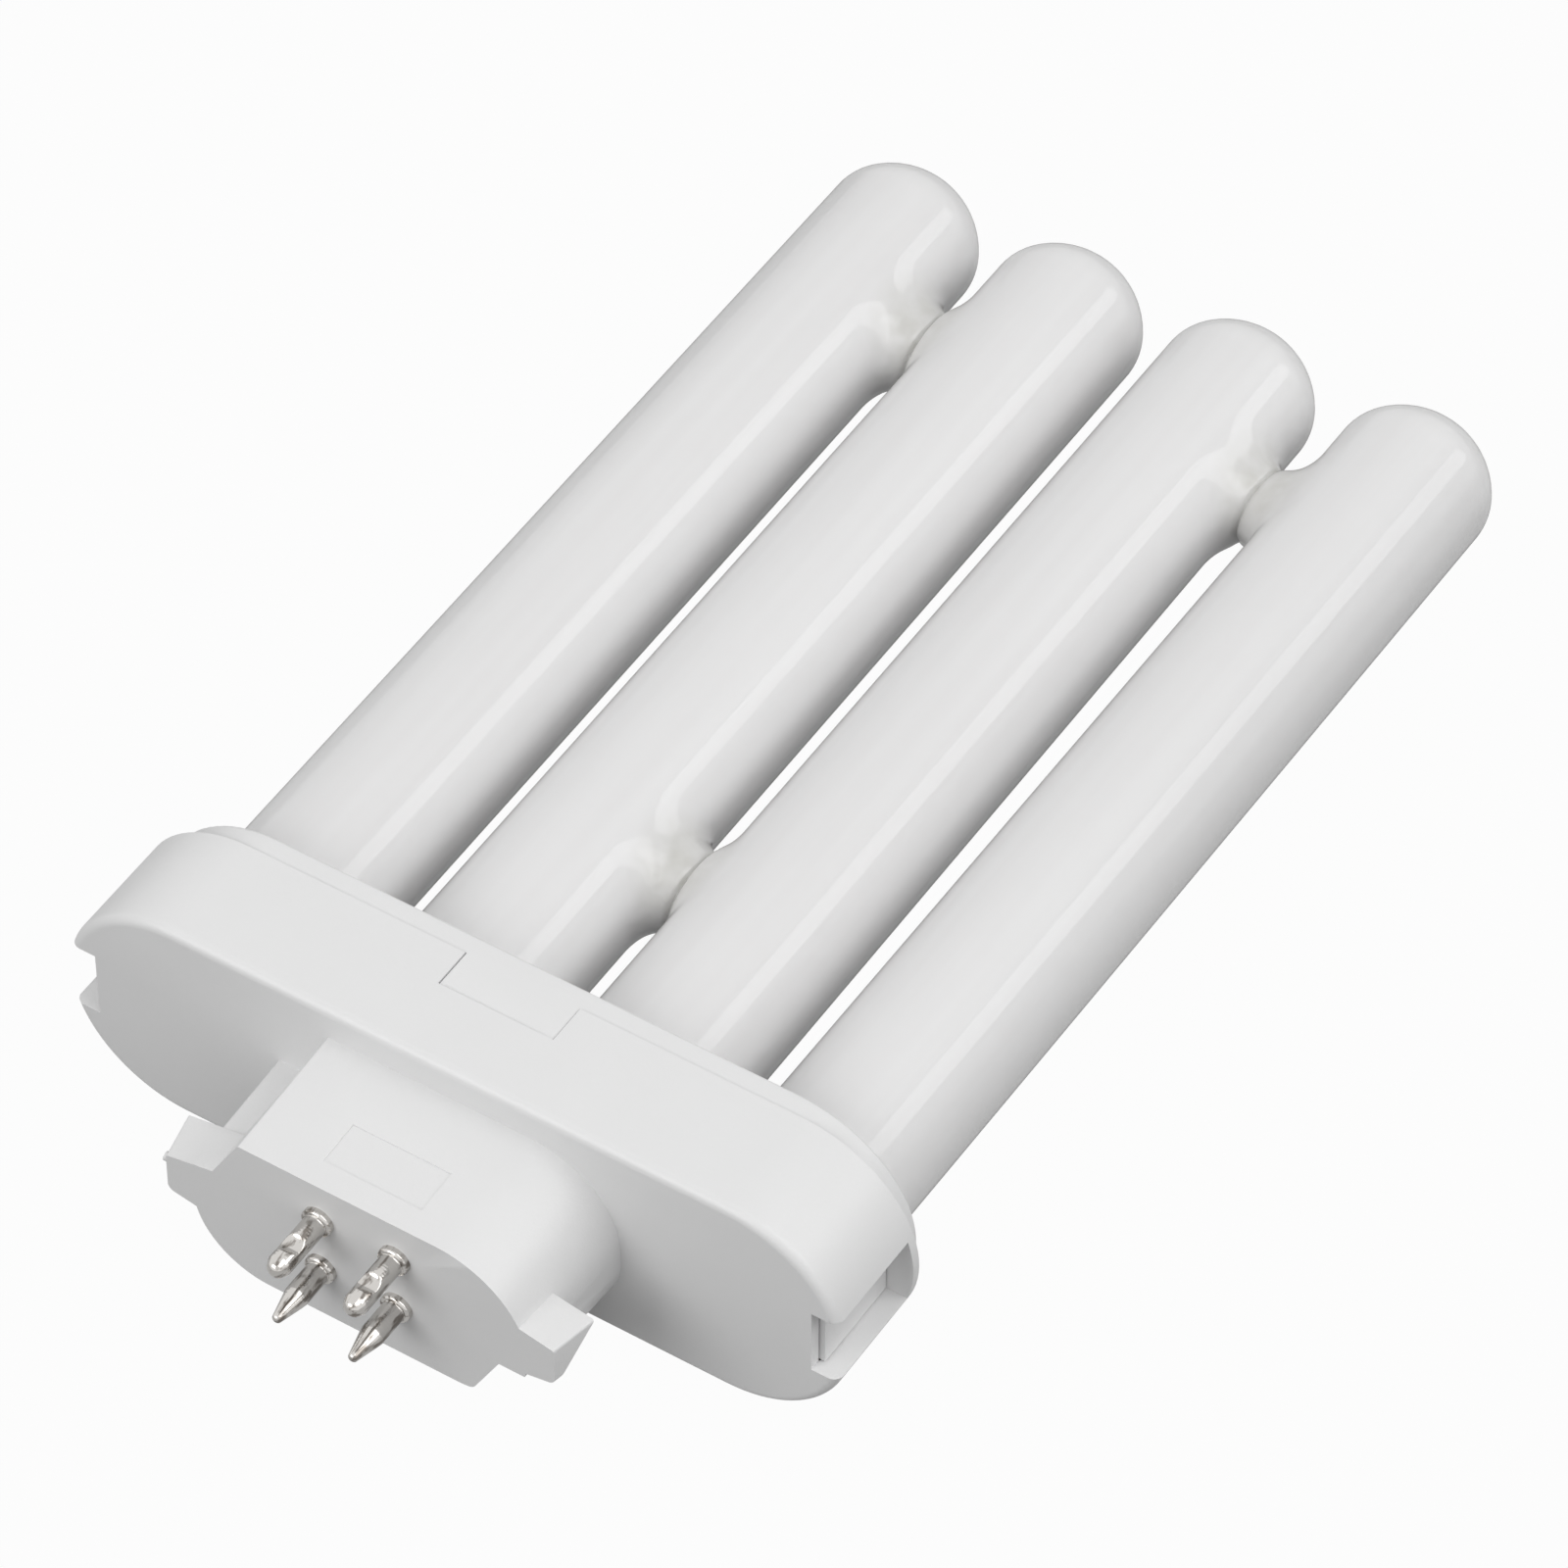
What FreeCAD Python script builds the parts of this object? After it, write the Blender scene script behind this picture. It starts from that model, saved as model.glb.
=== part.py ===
import FreeCAD, Part
import math
import os

# Four pin compact fluorescent lamp with four tubes in one row.
# Millimetres. X runs along the row of tubes, Y from the pins towards the tube tips, Z up.
# The origin is the centre of the four pins, on the front face of the plug.

# Contact pins
pin_spacing_x = 7.92
pin_spacing_z = 6.35
pin_diameter = 2.3
pin_length = 7.1
pin_collar_diameter = 3.1
pin_collar_height = 0.7
pin_collar_round = 0.35
pin_shank_diameter = 2.7
pin_tail_length = 1.2
pin_tail_diameter = 3.3
pin_tail_lip = 0.4
pin_bore_diameter = 1.0
pin_bore_end_y = -1.8
blunt_nose_length = 1.1
blunt_nose_diameter = 1.7
pointed_nose_length = 3.2
pointed_nose_diameter = 0.9
crimp_y = -4.1
crimp_radius = 1.5
crimp_depth = 0.5

# Glass tubes
tube_diameter = 15.9
tube_gap = 2.9
right_leg_lean = 0.4
tube_stand = 109.4
outer_tip_step = 0.9
tip_round = 5.1
tip_dome_angle = 59.7
inner_foot_depth = 7.8
foot_round = 4.0
foot_dome_angle = 29.6
far_bridge_to_tip = 17.6
near_bridge_to_rim = 22.85
bridge_diameter = 7.8
bridge_round = 1.2
bridge_crease = 0.2

# Pressed glass seal at the foot of each outer leg
seal_thickness = 3.6
seal_width = 11.0
seal_round = 1.0
seal_length = 3.6
seal_wire_gap = 1.6
seal_lead_spacing = 4.0

# Cap shell
shell_end_offset = 0.4
shell_rise = 4.15
shell_depth = 12.05
shell_wall = 1.5
face_wall = 1.2
face_edge_round = 1.0
latch_slot_height = 7.5
latch_slot_depth = 3.3
latch_bar_depth = 0.95
notch_width = 12.0
notch_depth = 4.2

# Plug with its key and its keyway
plug_depth = 13.7
plug_front_wall = 2.0
plug_wall = 1.4
plug_top_z = 7.6
plug_bottom_z = -9.5
plug_half_width = 17.4
plug_top_draft = 1.0
plug_side_draft = 0.5
plug_bottom_draft = 0.6
plug_top_round = 9.2
plug_bottom_round = 7.6
key_foot_inset = 2.0
key_slant = 3.1
key_ledge_z = 2.1
key_round = 0.35
keyway_top_inset = 3.0
keyway_slant = 2.9
keyway_round = 1.0
panel_width = 10.2
panel_length = 4.5
panel_start_y = 2.6
panel_recess = 0.12

# Locking wings of the plug
wing_stand = 2.8
wing_flare = 1.0
wing_depth = 4.8
wing_root_inset = 4.4
wing_root_top_z = 2.9
wing_root_bottom_z = -4.4
wing_tip_top_z = 1.4
wing_tip_bottom_z = -3.0
wing_top_round = 0.3
wing_bottom_round = 0.8
gate_mark_diameter = 0.9
gate_mark_height = 0.35

# Tube holder
fit_clearance = 0.1
seam_gap = 0.1
rim_stand = 2.25
rim_step = 0.15
rim_end_step = 1.55
rim_edge_round = 0.4
plate_thickness = 1.8
skirt_depth = 6.5
skirt_wall = 1.2
socket_clearance = 0.25
socket_wall = 1.3
socket_depth = 5.65
arm_thickness = 1.0
arm_hook = 0.6
arm_side_clearance = 0.15

# Cement and lead wires
cement_depth = 4.5
cement_foot_gap = 0.5
wire_diameter = 0.6
wire_bend = 1.2
wire_run_gap = 0.3
wire_end_gap = 0.3

# Most of a side that the rounds at its two ends may take together
largest_share = 0.98

# Places that follow from the sizes above
face_y = plug_depth
inner_face_y = face_y + face_wall
seam_y = face_y + shell_depth
bar_y = seam_y - latch_bar_depth
rim_y = seam_y + rim_stand
plate_y = rim_y - plate_thickness
socket_foot_y = plate_y - socket_depth
tube_radius = tube_diameter / 2
tube_pitch = tube_diameter + tube_gap
shell_radius = tube_radius + shell_rise
round_centre_x = 1.5 * tube_pitch + shell_end_offset
shell_end_x = round_centre_x + shell_radius
latch_slot_floor_x = shell_end_x - latch_slot_depth
socket_radius = tube_radius + socket_clearance
holder_radius = shell_radius - shell_wall - fit_clearance
rim_radius = shell_radius - rim_step
rim_centre_x = shell_end_x - rim_end_step - rim_radius
wire_run_y = inner_face_y + wire_run_gap + wire_diameter / 2
seal_y = wire_run_y + wire_diameter / 2 + seal_wire_gap
inner_foot_y = rim_y - inner_foot_depth
outer_foot_y = seal_y + seal_length
tube_tip_y = rim_y + tube_stand
near_bridge_y = rim_y + near_bridge_to_rim
far_bridge_y = tube_tip_y - far_bridge_to_tip
key_foot_x = key_foot_inset - plug_half_width
key_top_x = key_foot_x + key_slant
keyway_top_x = plug_half_width - keyway_top_inset
keyway_foot_x = keyway_top_x - keyway_slant
wing_reach = plug_half_width + wing_stand
wing_root_x = plug_half_width - wing_root_inset
leg_places = [(i - 1.5) * tube_pitch for i in range(4)]
leg_leans = [0.0, 0.0, 0.0, right_leg_lean]
leg_tips = [tube_tip_y + step * outer_tip_step for step in (1, 0, 0, -1)]
pin_places = [(x * pin_spacing_x / 2, z * pin_spacing_z / 2) for x in (-1, 1) for z in (1, -1)]


def vec(x, y, z):
    return FreeCAD.Vector(x, y, z)


def line(a, b):
    return Part.LineSegment(a, b).toShape()


def arc(a, middle, b):
    return Part.Arc(a, middle, b).toShape()


def box_between(a, b):
    """Box with its edges along the axes and two opposite corners at a and b."""
    low = vec(min(a.x, b.x), min(a.y, b.y), min(a.z, b.z))
    size = vec(abs(a.x - b.x), abs(a.y - b.y), abs(a.z - b.z))
    return Part.makeBox(size.x, size.y, size.z, low)


def cylinder_y(radius, x, z, y, length):
    return Part.makeCylinder(radius, length, vec(x, y, z), vec(0, 1, 0))


def extrude_y(wire, depth):
    return Part.Face(wire).extrude(vec(0, depth, 0))


def rounded_outline(corners, radii, y):
    """Closed outline in the plane at y, through (x, z) corners, each rounded by its own radius."""
    count = len(corners)
    starts = []
    middles = []
    ends = []
    for i in range(count):
        corner = vec(corners[i][0], y, corners[i][1])
        before = vec(corners[i - 1][0], y, corners[i - 1][1]) - corner
        after = vec(corners[(i + 1) % count][0], y, corners[(i + 1) % count][1]) - corner
        before.normalize()
        after.normalize()
        half = before.getAngle(after) / 2
        reach = radii[i] / math.tan(half)
        bisector = before + after
        bisector.normalize()
        starts.append(corner + before * reach)
        middles.append(corner + bisector * (radii[i] / math.sin(half) - radii[i]))
        ends.append(corner + after * reach)
    edges = []
    for i in range(count):
        if radii[i] > 0:
            edges.append(arc(starts[i], middles[i], ends[i]))
        edges.append(line(ends[i], starts[(i + 1) % count]))
    return Part.Wire(edges)


def stadium(radius, y, depth, centre_x=round_centre_x):
    """Bar with round ends, centred on the shell's two end centres if no other place is given."""
    left = -centre_x
    right = centre_x
    edges = [
        line(vec(left, y, -radius), vec(right, y, -radius)),
        arc(vec(right, y, -radius), vec(right + radius, y, 0), vec(right, y, radius)),
        line(vec(right, y, radius), vec(left, y, radius)),
        arc(vec(left, y, radius), vec(left - radius, y, 0), vec(left, y, -radius)),
    ]
    return extrude_y(Part.Wire(edges), depth)


def round_outer_edge(solid, y, radius):
    """Rounds the whole outer edge of a stadium's end face."""
    edges = [e for e in solid.Edges if all(abs(v.Point.y - y) < 1e-6 for v in e.Vertexes)]
    return solid.makeFillet(radius, edges)


def turned_about_y(points, x, z):
    """Turned solid on an axis along Y through (x, z). Points are (radius, y), and one with a
    third value is the middle of the arc from the point before it to the point after it."""
    edges = []
    start = vec(points[0][0], points[0][1], 0)
    middle = None
    for point in points[1:] + points[:1]:
        here = vec(point[0], point[1], 0)
        if len(point) == 3:
            middle = here
        elif middle is None:
            edges.append(line(start, here))
            start = here
        else:
            edges.append(arc(start, middle, here))
            start = here
            middle = None
    solid = Part.Face(Part.Wire(edges)).revolve(vec(0, 0, 0), vec(0, 1, 0), 360)
    solid.translate(vec(x, 0, z))
    return solid


def blown_end(radius, y, round_radius, dome_angle, out):
    """Profile of a blown tube end, from the tube's wall to its axis: a round shoulder that runs
    smoothly into a shallow dome, which reaches dome_angle from the axis on its own sphere. out is
    1 for an end that points along +Y, and -1 for the other."""
    inset = radius - round_radius
    lean = math.radians(dome_angle)
    dome_radius = round_radius + inset / math.sin(lean)
    shoulder_y = y - out * (dome_radius - (dome_radius - round_radius) * math.cos(lean))
    dome_y = y - out * dome_radius
    middle = (lean + math.pi / 2) / 2
    reach = inset + round_radius * math.sin(middle)
    return [
        (radius, shoulder_y),
        (reach, shoulder_y + out * round_radius * math.cos(middle), "arc"),
        (dome_radius * math.sin(lean), dome_y + out * dome_radius * math.cos(lean)),
        (dome_radius * math.sin(lean / 2), dome_y + out * dome_radius * math.cos(lean / 2), "arc"),
        (0, y),
    ]


def leg_x(index, y):
    """Where the axis of a leg is at this distance from the plug's face."""
    return leg_places[index] + math.tan(math.radians(leg_leans[index])) * (y - rim_y)


def tube_leg(index):
    """One glass leg, domed at both ends. An outer leg has a pressed seal at its foot."""
    outer = index in (0, 3)
    foot_y = outer_foot_y if outer else inner_foot_y
    foot = blown_end(tube_radius, foot_y, foot_round, foot_dome_angle, -1)
    tip = blown_end(tube_radius, leg_tips[index], tip_round, tip_dome_angle, 1)
    leg = turned_about_y(foot[::-1] + tip, 0, 0)
    if outer:
        leg = leg.fuse(pressed_seal())
    leg.rotate(vec(0, rim_y, 0), vec(0, 0, 1), -leg_leans[index])
    leg.translate(vec(leg_places[index], 0, 0))
    return leg


def pressed_seal():
    """Flat press at the foot of a leg, which holds the two lead wires."""
    half_t = seal_thickness / 2
    half_w = seal_width / 2
    corners = [(-half_t, -half_w), (half_t, -half_w), (half_t, half_w), (-half_t, half_w)]
    outline = rounded_outline(corners, [min(seal_round, largest_share * half_t)] * 4, seal_y)
    return extrude_y(outline, seal_length + foot_round)


def bridge_neck(left, y):
    """Round neck between a leg and the next one, from axis to axis."""
    start = vec(leg_x(left, y), y, 0)
    return Part.makeCylinder(bridge_diameter / 2, leg_x(left + 1, y) - start.x, start, vec(1, 0, 0))


def blend_necks(glass, heights):
    """Rounds the rims where the necks run into the legs, as molten glass does."""
    radius = bridge_diameter / 2
    rims = []
    for edge in glass.Edges:
        if edge.Degenerated or edge.Curve.TypeId == "Part::GeomLine":
            continue
        points = edge.discretize(9)
        if any(all(abs(math.hypot(p.y - y, p.z) - radius) < 1e-3 for p in points) for y in heights):
            rims.append(edge)
    return glass.makeFillet(min(bridge_round, tube_gap / 2 - bridge_crease), rims)


def neck_crease(left, y):
    """Shallow groove round a neck, where the two molten necks met."""
    middle = (leg_x(left, y) + leg_x(left + 1, y)) / 2
    radius = bridge_diameter / 2
    corners = [
        vec(middle, y + radius - bridge_crease, 0),
        vec(middle + bridge_crease, y + radius + bridge_crease, 0),
        vec(middle - bridge_crease, y + radius + bridge_crease, 0),
    ]
    section = Part.Wire([line(corners[i - 1], corners[i]) for i in range(3)])
    return Part.Face(section).revolve(vec(0, y, 0), vec(1, 0, 0), 360)


def discharge_tube():
    """Sealed glass envelope: four legs joined by three bridges, one closed path for the light."""
    bridges = [(0, far_bridge_y), (1, near_bridge_y), (2, far_bridge_y)]
    legs = [tube_leg(i) for i in range(4)]
    necks = [bridge_neck(left, y) for left, y in bridges]
    glass = legs[0].fuse(legs[1:] + necks)
    glass = blend_necks(glass, [near_bridge_y, far_bridge_y])
    return glass.cut([neck_crease(left, y) for left, y in bridges])


def plug_outline(y, inset=0.0):
    """The plug's section at y: big rounds on the right and below, a stepped key at the upper left.
    It widens towards the shell, and inset draws it in by one wall."""
    along = y / plug_depth
    side = plug_half_width + plug_side_draft * along - inset
    top = plug_top_z + plug_top_draft * along - inset
    bottom = plug_bottom_z - plug_bottom_draft * along + inset
    ledge = key_ledge_z - inset
    slant = inset * (key_top_x - key_foot_x) / (plug_top_z - key_ledge_z)
    corners = [
        (-side, bottom),
        (side, bottom),
        (side, top),
        (key_top_x + slant, top),
        (key_foot_x + slant, ledge),
        (-side, ledge),
    ]
    room = largest_share * (top - bottom) / (plug_top_round + plug_bottom_round)
    top_round = plug_top_round * min(1.0, room)
    bottom_round = plug_bottom_round * min(1.0, room)
    radii = [bottom_round, bottom_round, top_round, key_round, key_round, key_round]
    return rounded_outline(corners, radii, y)


def plug_solid(y_low, y_high, inset=0.0):
    """Solid between two of the plug's outlines."""
    return Part.makeLoft([plug_outline(y_low, inset), plug_outline(y_high, inset)], True, True)


def wing_section(side, y, reach):
    """Section of a locking wing, thinner at its tip than at its root."""
    corners = [
        (side * wing_root_x, wing_root_bottom_z),
        (side * reach, wing_tip_bottom_z),
        (side * reach, wing_tip_top_z),
        (side * wing_root_x, wing_root_top_z),
    ]
    radii = [0, wing_bottom_round, wing_top_round, 0]
    if side < 0:
        corners.reverse()
        radii.reverse()
    return rounded_outline(corners, radii, y)


def wing(side):
    """Locking wing, which flares a little towards the shell."""
    front = wing_section(side, 0, wing_reach)
    back = wing_section(side, wing_depth, wing_reach + wing_flare)
    return Part.makeLoft([front, back], True, True)


def gate_mark():
    """Small round mark where the moulding's gate was, on the tip of the left wing."""
    radius = gate_mark_diameter / 2
    height_z = wing_tip_top_z - wing_top_round - radius
    start = vec(-wing_reach + gate_mark_height, radius, height_z)
    return Part.makeCylinder(radius, 2 * gate_mark_height, start, vec(-1, 0, 0))


def keyed_plug():
    """The plug with a slanted keyway cut in its lower right corner and the cut's edge rounded."""
    plug = plug_solid(0, face_y + face_wall / 2).cut(keyway())
    edges = []
    for edge in plug.Edges:
        run = edge.lastVertex().Point - edge.firstVertex().Point
        place = edge.CenterOfMass
        at_corner = place.z < plug_bottom_z + keyway_round and abs(place.x - keyway_foot_x) < keyway_round
        if at_corner and abs(run.y) > wing_depth / 2:
            edges.append(edge)
    return plug.makeFillet(keyway_round, edges)


def keyway():
    """Slanted cut at the plug's lower right corner, under the wing."""
    outer = plug_half_width + plug_side_draft
    below = plug_bottom_z - plug_bottom_draft
    rise = (wing_tip_bottom_z - wing_root_bottom_z) / (wing_reach - wing_root_x)
    root_z = wing_root_bottom_z + rise * (keyway_top_x - wing_root_x)
    slope = (keyway_top_x - keyway_foot_x) / (root_z - plug_bottom_z)
    corners = [
        (keyway_foot_x - slope * (plug_bottom_z - below), below),
        (outer, below),
        (outer, root_z),
        (keyway_top_x, root_z),
    ]
    return extrude_y(rounded_outline(corners, [0, 0, 0, 0], 0), wing_depth)


def cap_shell():
    """White moulded cap: hollow round-ended shell, hollow plug with key and wings, end latch slots."""
    shell = round_outer_edge(stadium(shell_radius, face_y, shell_depth), face_y, face_edge_round)
    body = shell.fuse([keyed_plug(), wing(-1), wing(1), gate_mark()])
    cavity = stadium(shell_radius - shell_wall, inner_face_y, shell_depth)
    plug_cavity = plug_solid(plug_front_wall, inner_face_y + face_wall, plug_wall)
    body = body.cut([cavity, plug_cavity] + latch_slots())
    body = body.fuse(latch_frames())
    body = body.cut(edge_notches() + [top_panel()] + pin_holes())
    return body.removeSplitter()


def latch_slots():
    """Slot through each round end of the shell, open at the face."""
    half = latch_slot_height / 2
    cuts = []
    for side in (-1, 1):
        inner = vec(side * latch_slot_floor_x, face_y - face_wall, -half)
        cuts.append(box_between(inner, vec(side * shell_end_x, bar_y, half)))
    return cuts


def latch_frames():
    """Frame round each slot inside the shell: a cheek above and below it, and a bar across it at
    the seam, which the holder's arm hooks under."""
    half = latch_slot_height / 2
    end = stadium(shell_radius, inner_face_y, seam_y - inner_face_y)
    frames = []
    for side in (-1, 1):
        inner = vec(side * (latch_slot_floor_x + fit_clearance), inner_face_y, -half - shell_wall)
        block = end.common(box_between(inner, vec(side * shell_end_x, seam_y, half + shell_wall)))
        start = vec(side * latch_slot_floor_x, inner_face_y, -half)
        frames.append(block.cut(box_between(start, vec(side * shell_end_x, bar_y, half))))
    return frames


def edge_notches():
    """Notch in the middle of the shell's rear edge, above and below."""
    half = notch_width / 2
    inner = shell_radius - 2 * shell_wall
    notches = []
    for side in (-1, 1):
        low = vec(-half, seam_y - notch_depth, side * inner)
        notches.append(box_between(low, vec(half, seam_y + notch_depth, side * shell_radius)))
    return notches


def top_panel():
    """Shallow bare panel in the sloping top of the plug."""
    half = panel_width / 2
    slope = plug_top_draft / plug_depth
    near_y = panel_start_y
    far_y = panel_start_y + panel_length
    corners = [
        vec(-half, near_y, plug_top_z + slope * near_y - panel_recess),
        vec(-half, far_y, plug_top_z + slope * far_y - panel_recess),
        vec(-half, far_y, plug_top_z + slope * far_y + panel_recess),
        vec(-half, near_y, plug_top_z + slope * near_y + panel_recess),
    ]
    side = Part.Wire([line(corners[i - 1], corners[i]) for i in range(4)])
    return Part.Face(side).extrude(vec(panel_width, 0, 0))


def pin_holes():
    """Holes in the plug's front wall that the pins are pressed into."""
    return [cylinder_y(pin_shank_diameter / 2, x, z, -1, plug_front_wall + 2) for x, z in pin_places]


def contact_pin(x, z):
    """Nickel-plated pin with a collar outside, a riveted tail inside, a blind bore for the lead
    wire and a crimp. The upper pins end blunt and the lower ones are drawn to a point."""
    radius = pin_diameter / 2
    shank = pin_shank_diameter / 2
    collar = pin_collar_diameter / 2
    tail = pin_tail_diameter / 2
    bore = pin_bore_diameter / 2
    tail_y = plug_front_wall + pin_tail_length
    nose_length = blunt_nose_length if z > 0 else pointed_nose_length
    nose = (blunt_nose_diameter if z > 0 else pointed_nose_diameter) / 2
    nose_sag = nose / 2
    dome = (nose * nose + nose_sag * nose_sag) / (2 * nose_sag)
    half = math.asin(nose / dome) / 2
    slant = math.sqrt(0.5)
    profile = [
        (0, pin_bore_end_y),
        (bore, pin_bore_end_y),
        (bore, tail_y),
        (tail, tail_y),
        (tail, tail_y - pin_tail_lip),
        (shank, plug_front_wall),
        (shank, 0),
        (collar, 0),
        (collar, pin_collar_round - pin_collar_height),
        (collar - pin_collar_round * (1 - slant), pin_collar_round * (1 - slant) - pin_collar_height, "arc"),
        (collar - pin_collar_round, -pin_collar_height),
        (radius, -pin_collar_height),
        (radius, nose_length - pin_length),
        (nose, nose_sag - pin_length),
        (dome * math.sin(half), dome * (1 - math.cos(half)) - pin_length, "arc"),
        (0, -pin_length),
    ]
    pin = turned_about_y(profile, x, z)
    outward = math.copysign(1, z)
    centre_z = z + outward * (radius - crimp_depth + crimp_radius)
    dent = Part.makeCylinder(crimp_radius, pin_diameter, vec(x - radius, crimp_y, centre_z), vec(1, 0, 0))
    return pin.cut(dent)


def holder_rim():
    """Rim that closes the shell, almost flush with it above and below and drawn in at the ends,
    with a tab that fills each notch in the shell's edge."""
    low_y = seam_y + seam_gap
    rim = stadium(rim_radius, low_y, rim_y - low_y, rim_centre_x)
    half = notch_width / 2 - fit_clearance
    root = holder_radius - skirt_wall / 2
    foot_y = seam_y - notch_depth + fit_clearance
    tabs = []
    for side in (-1, 1):
        tabs.append(box_between(vec(-half, foot_y, side * root), vec(half, rim_y, side * rim_radius)))
    return round_outer_edge(rim.fuse(tabs).removeSplitter(), rim_y, rim_edge_round)


def tube_holder():
    """Moulded holder: rim with four tube sockets, a skirt inside the shell, two hooked arms."""
    foot_y = seam_y - skirt_depth
    skirt = stadium(holder_radius, foot_y, plate_y - foot_y)
    inner = stadium(holder_radius - skirt_wall, foot_y, plate_y - foot_y)
    body = holder_rim().fuse(skirt).cut(inner)
    length = rim_y - socket_foot_y
    within = stadium(holder_radius - skirt_wall / 2, socket_foot_y, length - plate_thickness / 2)
    collars = [cylinder_y(socket_radius + socket_wall, x, 0, socket_foot_y, length) for x in leg_places]
    bores = [cylinder_y(socket_radius, x, 0, socket_foot_y - 1, length + 2) for x in leg_places]
    body = body.fuse([collar.common(within) for collar in collars])
    body = body.cut(arm_windows())
    body = body.fuse(hooked_arms())
    return body.cut(bores).removeSplitter()


def arm_windows():
    """Room in the skirt for the latch bar and the slot at each end."""
    half = latch_slot_height / 2 + shell_wall + fit_clearance
    cuts = []
    for side in (-1, 1):
        inner = vec(side * latch_slot_floor_x, seam_y - skirt_depth - 1, -half)
        cuts.append(box_between(inner, vec(side * shell_end_x, seam_y + fit_clearance, half)))
    return cuts


def hooked_arms():
    """Arm at each end: it passes inside the latch bar and its hook steps out under the bar."""
    half = latch_slot_height / 2 - arm_side_clearance
    foot_y = inner_face_y + fit_clearance
    inner_x = latch_slot_floor_x - arm_thickness
    hook_x = latch_slot_floor_x + arm_hook
    arms = []
    for side in (-1, 1):
        start = vec(side * inner_x, foot_y, -half)
        neck = box_between(start, vec(side * latch_slot_floor_x, plate_y + plate_thickness / 2, half))
        hook = box_between(start, vec(side * hook_x, bar_y - fit_clearance, half))
        arms.append(neck.fuse(hook))
    return arms


def socket_cement(index):
    """Ring of cement that fills the socket round the foot of one leg."""
    ring = cylinder_y(socket_radius, leg_places[index], 0, socket_foot_y + cement_foot_gap, cement_depth)
    return ring.cut(tube_leg(index))


def bent_wire(points, diameter, bend):
    """Round wire along straight runs with a bend of one radius at each inner point."""
    edges = []
    start = points[0]
    for i in range(1, len(points) - 1):
        corner = points[i]
        before = points[i - 1] - corner
        after = points[i + 1] - corner
        before.normalize()
        after.normalize()
        half = before.getAngle(after) / 2
        reach = bend / math.tan(half)
        bisector = before + after
        bisector.normalize()
        arc_start = corner + before * reach
        arc_end = corner + after * reach
        edges.append(line(start, arc_start))
        edges.append(arc(arc_start, corner + bisector * (bend / math.sin(half) - bend), arc_end))
        start = arc_end
    edges.append(line(start, points[-1]))
    section = Part.Wire([Part.Circle(points[0], points[1] - points[0], diameter / 2).toShape()])
    return Part.Wire(edges).makePipeShell([section], True, False)


def lead_wire(pin_x, pin_z):
    """Wire from the pressed seal of an outer leg, across the shell, into the bore of its pin."""
    leg = 0 if pin_x < 0 else 3
    seal_x = leg_x(leg, seal_y)
    seal_z = math.copysign(seal_lead_spacing / 2, pin_z)
    points = [
        vec(seal_x, seal_y, seal_z),
        vec(seal_x, wire_run_y, seal_z),
        vec(pin_x, wire_run_y, pin_z),
        vec(pin_x, pin_bore_end_y + wire_end_gap, pin_z),
    ]
    return bent_wire(points, wire_diameter, wire_bend)


def build():
    parts = {"discharge_tube": discharge_tube(), "tube_holder": tube_holder(), "cap_shell": cap_shell()}
    for i in range(4):
        parts["socket_cement_%d" % (i + 1)] = socket_cement(i)
    for i, (x, z) in enumerate(pin_places):
        parts["contact_pin_%d" % (i + 1)] = contact_pin(x, z)
        parts["lead_wire_%d" % (i + 1)] = lead_wire(x, z)
    return parts


def main():
    os.makedirs("parts", exist_ok=True)
    for name, shape in build().items():
        shape.exportStep("parts/%s.step" % name)
        facts = (name, len(shape.Solids), shape.isValid(), shape.Volume)
        print("%-18s solids %d valid %s volume %.1f" % facts)


main()
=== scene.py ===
import math
import bmesh
import bpy
import numpy as np
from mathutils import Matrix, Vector


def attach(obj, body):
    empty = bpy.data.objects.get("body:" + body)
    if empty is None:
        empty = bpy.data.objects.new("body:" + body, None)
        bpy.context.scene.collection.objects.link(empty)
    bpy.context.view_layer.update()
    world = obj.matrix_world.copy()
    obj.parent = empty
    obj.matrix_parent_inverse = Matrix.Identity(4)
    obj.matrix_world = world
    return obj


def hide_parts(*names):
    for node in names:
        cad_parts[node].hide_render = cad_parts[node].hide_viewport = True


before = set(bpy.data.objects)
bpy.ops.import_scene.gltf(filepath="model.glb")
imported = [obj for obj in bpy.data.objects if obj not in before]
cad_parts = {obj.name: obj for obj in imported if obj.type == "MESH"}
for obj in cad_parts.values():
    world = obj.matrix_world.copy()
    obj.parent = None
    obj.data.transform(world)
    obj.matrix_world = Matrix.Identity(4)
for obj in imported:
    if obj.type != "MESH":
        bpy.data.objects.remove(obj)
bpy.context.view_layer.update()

mm = 0.001
print("frame loaded")

# Lengths are in millimetres in the dictionaries and become metres when a mesh is made.
# X runs along the row of tubes, Y from the pins towards the tube tips, Z up.


def linearColour(hexCode):
    # Turns an sRGB hex colour into the linear values that the shaders use.
    values = [int(hexCode[i:i + 2], 16) / 255 for i in (1, 3, 5)]
    linear = [v / 12.92 if v <= 0.04045 else ((v + 0.055) / 1.055) ** 2.4 for v in values]
    return (*linear, 1.0)


def addNode(material, kind, settings=None, links=None):
    # Adds one shader node. settings fill its properties or sockets, and links join sockets.
    tree = material.node_tree
    node = tree.nodes.new(kind)
    for name, value in (settings or {}).items():
        if isinstance(name, str) and hasattr(node, name):
            setattr(node, name, value)
        else:
            node.inputs[name].default_value = value
    for name, source in (links or {}).items():
        tree.links.new(source, node.inputs[name])
    return node


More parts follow.
